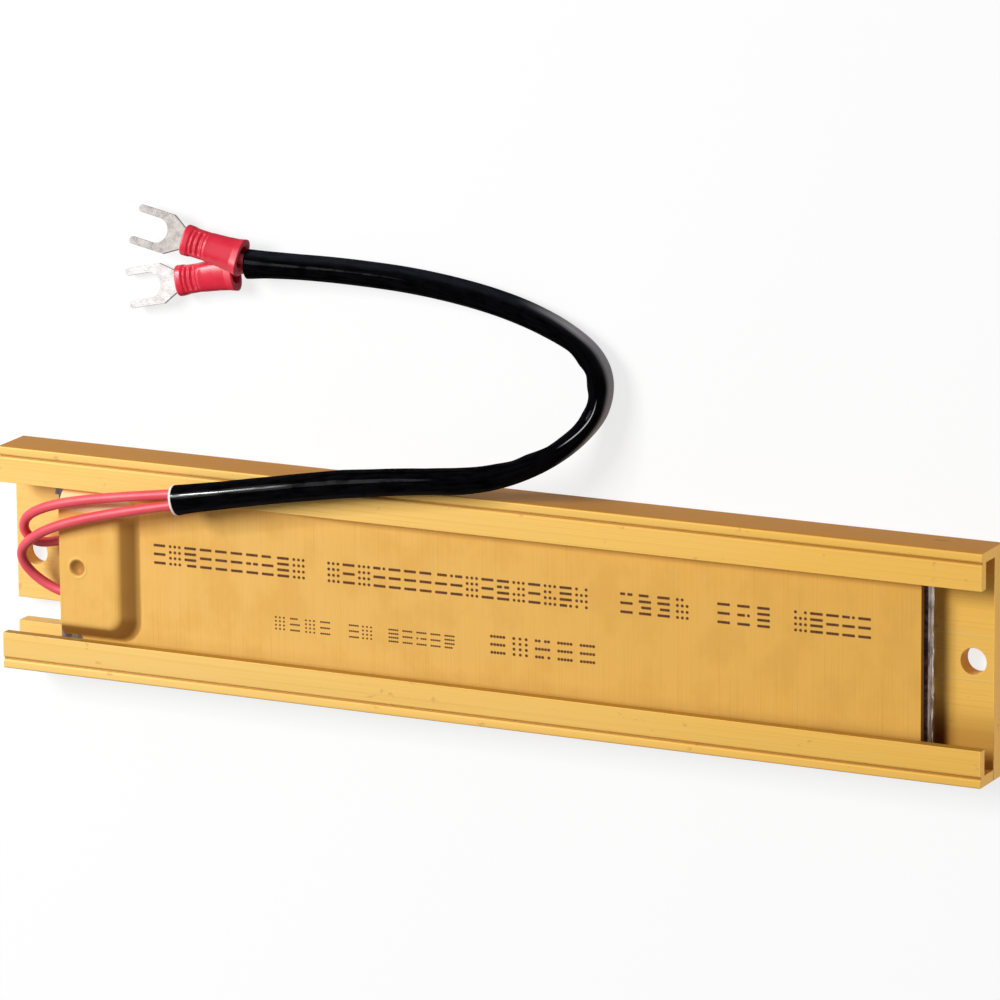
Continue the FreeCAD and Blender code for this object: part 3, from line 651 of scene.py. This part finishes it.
cover_xs = spaced(
    (COVER_ENDS[0], -81.2, 0.2), (-81.2, RELIEF_END, 0.15), (RELIEF_END, -77.4, 0.15),
    (-77.4, -67.2, 0.15), (-67.2, COVER_ENDS[1], 10.0))
cover_ys = spaced(
    (-HALF_PLATE, -13.8, 1.5), (-13.8, RELIEF_SIDE, 0.15), (RELIEF_SIDE, -9.8, 0.15),
    (-9.8, -2.4, 0.4), (-2.4, 1.6, 0.16), (1.6, 9.8, 0.4), (9.8, 13.8, 0.15),
    (13.8, HALF_PLATE, 1.5))
cover = add_object("gold_cover", sheet_between(
    "gold_cover", cover_xs, cover_ys, cover_heights, COVER_SHEET,
    lambda x, y: not (x < RELIEF_END and y < RELIEF_SIDE)))
soften(cover, 0.12, 50.0)
anodised_cover = Finish("anodised_cover", Metallic=0.06, Specular_IOR_Level=0.12)
rolling = anodised_cover.grain((0.18, 22.0, 0.6), 3.0)
broad = anodised_cover.grain((1.6, 40.0, 3.0), 2.0)
mottle = anodised_cover.grain((7.0, 9.0, 6.0), 4.0)
near_pocket = anodised_cover.x.step(83 * MM, -60 * MM)
end_shade = anodised_cover.x > (COVER_ENDS[1] - 0.06) * MM
gold = (0.6 * near_pocket + 0.4 * broad).blend(shade(240, 182, 82), shade(246, 194, 108))
gold = (0.4 * mottle.step(0.42, 0.66)).blend(gold, shade(228, 170, 80))
gold = (0.3 * rolling.step(0.5, 0.78)).blend(gold, shade(206, 150, 64))
climb = (anodised_cover.z - COVER_TOP * MM) / (POCKET_RISE * MM)
# The pocket's slopes are painted darker, as painted shade, and painted light makes them pale on the
# cord's side. The cover is painted darker towards the low lip and in a strip along it: painted
# shade.
slope_shade = (climb.step(0.02, 0.35) * climb.step(1.0, 0.8)
            * anodised_cover.y.step(10 * MM, 8 * MM))
low_slope = anodised_cover.y.step(-8 * MM, -10 * MM)
gold = (slope_shade * (0.75 + 0.2 * low_slope)).blend(gold, shade(150, 94, 34))
slope_light = climb.step(0.02, 0.3) * anodised_cover.y.step(9.6 * MM, 10.4 * MM)
gold = (0.75 * slope_light).blend(gold, shade(255, 236, 190))
near_lip_shade = anodised_cover.y.step(-10.6 * MM, -14.2 * MM)
gold = (0.3 * near_lip_shade).blend(gold, shade(180, 152, 82))
lip_shadow = (0.25 * anodised_cover.y.step(-13.2 * MM, -LIP_TIP * MM)
             + 0.15 * anodised_cover.y.step(-12.0 * MM, -13.6 * MM)
             * anodised_cover.x.step(20 * MM, 80 * MM))
gold = lip_shadow.blend(gold, shade(116, 70, 26))
# The cover's cut end is painted dark: painted shade.
gold = (0.7 * end_shade).blend(gold, shade(120, 66, 30))
anodised_cover.feed(Base_Color=gold, Roughness=0.36 + 0.18 * rolling)
anodised_cover.relief(rolling + 0.4 * mottle, 0.03)
cover.data.materials.append(anodised_cover.material)
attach(cover, "root")
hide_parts("cover_plate")


# Ink marks: two lines printed on the cover, the lower in two sizes, by a jet that sets one small
# dot of brown ink at a time. They are plain stacks of dashes and dots, and say nothing.
MARK_ROWS = [   # ends of a middle line; X of the first and last mark of each group, and how many
    {"line": (-64.9, 3.36, 74.0, 4.79), "dot": 0.55, "across": 0.46, "up": 0.53, "seed": 3,
     "groups": [(-63.6, -35.7, 10), (-28.8, 19.5, 17), (28.1, 38.7, 4), (46.5, 54.0, 3),
                (60.9, 72.8, 5)]},
    {"line": (1.8, -5.88, 22.05, -5.57), "dot": 0.55, "across": 0.6, "up": 0.48, "seed": 8,
     "groups": [(3.3, 20.6, 5)]},
    {"line": (-40.6, -6.66, -5.0, -6.36), "dot": 0.36, "across": 0.40, "up": 0.35, "seed": 5,
     "groups": [(-39.6, -30.6, 4), (-24.9, -22.3, 2), (-17.1, -6.1, 5)]}]
MARK_KINDS = ((5, 3), (3, 4), (5, 4), (5, 3))   # dots across and dots up
MARK_WIDTH = 4                                  # dot spacings
MARK_HEIGHT = 6                                 # row spacings
MISSING_DOTS = 0.04
INK_HEIGHT = 0.04


def geometry_tree(name, sizes):
    """An empty Geometry Nodes tree with named sizes, and the signals of its inputs."""
    tree = bpy.data.node_groups.new(name, "GeometryNodeTree")
    tree.interface.new_socket("Geometry", in_out="INPUT", socket_type="NodeSocketGeometry")
    tree.interface.new_socket("Geometry", in_out="OUTPUT", socket_type="NodeSocketGeometry")
    for size, value in sizes.items():
        kind = "NodeSocketInt" if isinstance(value, int) else "NodeSocketFloat"
        tree.interface.new_socket(size, in_out="INPUT", socket_type=kind)
    entry = tree.nodes.new("NodeGroupInput")
    inputs = {socket.name: Signal(tree, socket) for socket in entry.outputs if socket.name}
    return Signal(tree), inputs


def close_tree(tree, shape, finish):
    """End a tree: realize its instances, set the material, and put the shape out."""
    whole = tree.node("GeometryNodeRealizeInstances", {}, {0: shape})
    dressed = tree.node("GeometryNodeSetMaterial", {}, {
        "Geometry": whole, "Material": finish.material})
    exit_node = tree.tree.nodes.new("NodeGroupOutput")
    tree.tree.links.new(dressed.socket, exit_node.inputs[0])


def grown(name, seeds, tree, sizes):
    """The plain mesh that a tree makes from a seed mesh, with its sizes given in its inputs."""
    made = add_object(name, seeds)
    modifier = made.modifiers.new(name, "NODES")
    modifier.node_group = tree.tree
    for item in tree.tree.interface.items_tree:
        if item.in_out == "INPUT" and item.name in sizes:
            modifier[item.identifier] = sizes[item.name]
    evaluated = made.evaluated_get(bpy.context.evaluated_depsgraph_get())
    mesh = bpy.data.meshes.new_from_object(evaluated)
    made.modifiers.clear()
    made.data = mesh
    mesh.name = name
    return made


brown_ink = Finish("brown_ink", Specular_IOR_Level=0.3)
soak = brown_ink.grain((0.35, 0.35, 0.35), 3.0)
brown_ink.feed(
    Base_Color=soak.step(0.3, 0.75).blend(shade(74, 38, 14), shade(122, 74, 32)),
    Roughness=0.5 + 0.3 * soak)
brown_ink.relief(soak, 0.02)

marks, given = geometry_tree("ink_marks", {
    "Dot width": 0.0, "Dot spacing": 0.0, "Row spacing": 0.0, "Tilt": 0.0, "Seed": 0})
kinds = marks.tree.nodes.new("GeometryNodeJoinGeometry")
for dots_across, dots_up in MARK_KINDS:
    kind = marks.node("GeometryNodeMeshGrid", {}, {
        "Size X": given["Dot spacing"] * MARK_WIDTH, "Size Y": given["Row spacing"] * MARK_HEIGHT,
        "Vertices X": dots_across, "Vertices Y": dots_up})
    kind = marks.node("GeometryNodeGeometryToInstance", {}, {0: kind})
    marks.tree.links.new(kind.socket, kinds.inputs[0])
pick = marks.node("FunctionNodeRandomValue", {"data_type": "INT"}, {
    4: 0, 5: len(MARK_KINDS) - 1, 8: given["Seed"]}, 2)
turned = marks.node("ShaderNodeCombineXYZ", {}, {"Z": given["Tilt"]})
cells = marks.node("GeometryNodeInstanceOnPoints", {}, {
    "Points": given["Geometry"], "Instance": Signal(marks.tree, kinds.outputs[0]),
    "Pick Instance": True, "Instance Index": pick, "Rotation": turned})
dots = marks.node("GeometryNodeRealizeInstances", {}, {0: cells})
missing = marks.node("FunctionNodeRandomValue", {"data_type": "BOOLEAN"}, {
    6: MISSING_DOTS, 8: given["Seed"]}, 3)
dots = marks.node("GeometryNodeDeleteGeometry", {"domain": "POINT"}, {
    "Geometry": dots, "Selection": missing})
drop = marks.node("GeometryNodeMeshCylinder", {"fill_type": "NGON"}, {
    "Vertices": 14, "Radius": given["Dot width"] * 0.5, "Depth": INK_HEIGHT * MM})
drops = marks.node("GeometryNodeInstanceOnPoints", {}, {"Points": dots, "Instance": drop})
close_tree(marks, drops, brown_ink)

for number, row in enumerate(MARK_ROWS):
    x0, y0, x1, y1 = row["line"]
    places = np.concatenate([np.linspace(*group) for group in row["groups"]])
    seeds = bpy.data.meshes.new(f"ink_seeds_{number}")
    seeds.from_pydata([
        (x * MM, (y0 + (x - x0) * (y1 - y0) / (x1 - x0)) * MM, (COVER_TOP + 0.005) * MM)
        for x in places], [], [])
    inked = grown(f"ink_row_{number}", seeds, marks, {
        "Dot width": row["dot"] * MM, "Dot spacing": row["across"] * MM,
        "Row spacing": row["up"] * MM, "Tilt": math.atan2(y1 - y0, x1 - x0), "Seed": row["seed"]})
    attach(inked, "root")


# Element under the cover: mica sheets round a mica card, the wound ribbon, its return strip, the
# crimp ferrules and the bare conductor ends. The sheets are split mica glued in thin leaves, so
# their sawn ends are silvery and uneven.
MICA_LEAF = 0.14
LEAF_FILL = 0.93       # share of a leaf's room that the leaf takes
LEAF_WAVES = (20.0, 420.0, 2600.0)   # waves of the leaves' edges in a metre along X, Y and Z
RAGGED_BY = 0.35
EDGE_STEP = 0.25       # between the points of the open edges across the channel
LONG_STEP = 20         # and of the edges under the cover
MICA_SHEETS = [        # node, leaves, outline, underside and seed
    ("rear_mica", 5, [(-85.3, -18.3), (83.85, -18.3), (83.85, 18.3), (-85.3, 18.3)], 3.2, 11),
    ("front_mica", 7, [(-85.2, 11.9), (-67.6, 11.9), (-67.6, -18.3), (82.6, -18.3), (82.6, 18.3),
                       (-85.2, 18.3)], 4.9, 4)]
mica = Finish("mica", Specular_IOR_Level=0.6)
flake = mica.grain((1.3, 1.3, 0.3), 4.0)
leaves = mica.grain((3.0, 3.4, 0.22), 2.0)
sawn = mica.x > 83.5 * MM
silver = leaves.step(0.34, 0.56).blend(shade(170, 158, 154), shade(255, 251, 248))
# The purple is the mica's own colour, made darker in part as painted shade.
purple = (0.6 * flake + 0.4 * leaves).step(0.35, 0.7)
purple = purple.blend(shade(52, 40, 44), shade(146, 130, 132))
mica.feed(Base_Color=sawn.blend(purple, silver), Roughness=0.3 + 0.3 * flake, Metallic=0.7 * sawn)
mica.relief(flake + leaves, 0.06)

laminate, given = geometry_tree("split_mica", {
    "Leaves": 1, "Leaf thickness": 0.0, "Ragged by": 0.0, "Seed": 0})
upward = laminate.node("ShaderNodeCombineXYZ", {}, {"Z": given["Leaf thickness"]})
stack = laminate.node("GeometryNodeMeshLine", {}, {"Count": given["Leaves"], "Offset": upward})
back, forward = [laminate.node("ShaderNodeCombineXYZ", {}, {"X": given["Ragged by"] * share})
                 for share in (-0.5, 0.5)]
shift = laminate.node("FunctionNodeRandomValue", {"data_type": "FLOAT_VECTOR"}, {
    0: back, 1: forward, 8: given["Seed"]})
stack = laminate.node("GeometryNodeSetPosition", {}, {"Geometry": stack, "Offset": shift})
sheets = laminate.node("GeometryNodeInstanceOnPoints", {}, {
    "Points": stack, "Instance": given["Geometry"]})
sheets = laminate.node("GeometryNodeRealizeInstances", {}, {0: sheets})
here = laminate.node("GeometryNodeInputPosition", {}, {})
waves = laminate.node("ShaderNodeTexNoise", {}, {
    "Vector": laminate.node("ShaderNodeVectorMath", {"operation": "MULTIPLY"}, {
        0: here, 1: LEAF_WAVES}),
    "Scale": 1.0, "Detail": 3.0})
ragged = laminate.node("ShaderNodeCombineXYZ", {}, {
    "X": (waves - 0.5) * given["Ragged by"] * 2.2})
sheets = laminate.node("GeometryNodeSetPosition", {}, {"Geometry": sheets, "Offset": ragged})
close_tree(laminate, sheets, mica)


def leaf(name, outline, base):
    """One closed leaf over an outline of straight runs, with its open edges cut fine."""
    shell = bmesh.new()
    corners = []
    for (x0, y0), (x1, y1) in zip(outline, outline[1:] + outline[:1]):
        open_edge = abs(y1 - y0) > 1 and abs(x0) > 70
        length = math.hypot(x1 - x0, y1 - y0)
        pieces = max(1, round(length / (EDGE_STEP if open_edge else LONG_STEP)))
        corners += [(x0 + (x1 - x0) * step / pieces, y0 + (y1 - y0) * step / pieces)
                    for step in range(pieces)]
    rings = [[shell.verts.new((x * MM, y * MM, z * MM)) for x, y in corners]
             for z in (base, base + MICA_LEAF * LEAF_FILL)]
    shell.faces.new(rings[0][::-1])
    shell.faces.new(rings[1])
    for first in range(len(corners)):
        second = (first + 1) % len(corners)
        shell.faces.new((rings[0][first], rings[0][second], rings[1][second], rings[1][first]))
    mesh = bpy.data.meshes.new(name)
    shell.to_mesh(mesh)
    shell.free()
    turn_faces_out(mesh)
    return mesh


for node, leaf_count, outline, base, seed in MICA_SHEETS:
    split = grown(f"split_{node}", leaf(node, outline, base), laminate, {
        "Leaves": leaf_count, "Leaf thickness": MICA_LEAF * MM, "Ragged by": RAGGED_BY * MM,
        "Seed": seed})
    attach(split, "root")
    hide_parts(node)

resistance_alloy = Finish("resistance_alloy", Metallic=1.0)
drawn = resistance_alloy.grain((0.4, 12.0, 0.4), 3.0)
resistance_alloy.feed(Base_Color=drawn.blend(shade(140, 134, 128), shade(176, 170, 162)),
                      Roughness=0.28 + 0.2 * drawn)
CARRIED_OVER = {   # CAD nodes that keep their own shape
    "element_card": mica, "resistance_ribbon": resistance_alloy, "return_strip": resistance_alloy,
    "ferrule_upper": tinned_copper, "ferrule_lower": tinned_copper,
    "bare_ends_element": tinned_copper, "bare_ends_forks": tinned_copper}
for node, finish in CARRIED_OVER.items():
    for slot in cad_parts[node].material_slots:
        slot.material = finish.material


# Floor and light: a plain pale floor under one large soft lamp to the left and front, with a small
# bright lamp beside it that glints on the varnish, and an even white surround.
def looked_at(signal):
    """1 on the camera's rays, also by way of a mirror or glass, and 0 on the rays of light."""
    camera_ray, glossy_ray, transmission_ray = [
        signal.node("ShaderNodeLightPath", {}, {}, output) for output in (0, 3, 6)]
    return signal.maths("MINIMUM", camera_ray + glossy_ray + transmission_ray, 1.0)


floor_finish = Finish("pale_floor", Roughness=0.9)
floor_tree = floor_finish.signal.tree
seen = looked_at(floor_finish.signal)
floor_finish.feed(Base_Color=seen.blend((0.34, 0.33, 0.32, 1.0), (0.9, 0.9, 0.9, 1.0)))
lit = Signal(floor_tree, floor_finish.shader.outputs[0])
glow = lit.node("ShaderNodeEmission", {}, {"Color": (1, 1, 1, 1), "Strength": 1.05})
mixed = lit.node("ShaderNodeMixShader", {}, {0: seen * 0.75, 1: lit, 2: glow})
floor_tree.links.new(mixed.socket, floor_tree.nodes["Material Output"].inputs["Surface"])
floor_mesh = bpy.data.meshes.new("floor")
floor_mesh.from_pydata([(-3, -3, 0), (3, -3, 0), (3, 3, 0), (-3, 3, 0)], [], [(0, 1, 2, 3)])
floor = add_object("floor", floor_mesh)
floor_mesh.materials.append(floor_finish.material)

world = bpy.data.worlds.new("surround")
bpy.context.scene.world = world
world.use_nodes = True
brightness = 0.15 + 0.85 * looked_at(Signal(world.node_tree))
background = world.node_tree.nodes["Background"]
background.inputs["Color"].default_value = (1, 1, 1, 1)
world.node_tree.links.new(brightness.socket, background.inputs["Strength"])


def soft_lamp(name, place, aim, size, power):
    """A round lamp, its width in metres and its power in watts, turned to what it aims at."""
    lamp = bpy.data.lights.new(name, "AREA")
    lamp.shape = "ELLIPSE"
    lamp.size = lamp.size_y = size
    lamp.energy = power
    made = add_object(name, lamp)
    made.location = place
    made.rotation_euler = (Vector(aim) - Vector(place)).to_track_quat("-Z", "Y").to_euler()


soft_lamp("key", (-0.62, 0.36, 0.76), (0, 0, 0), 0.5, 10.3)
soft_lamp("spark", (-0.67, 0.48, 0.63), (0, 0.02, 0), 0.05, 1.0)

bpy.context.scene.view_settings.view_transform = "Standard"
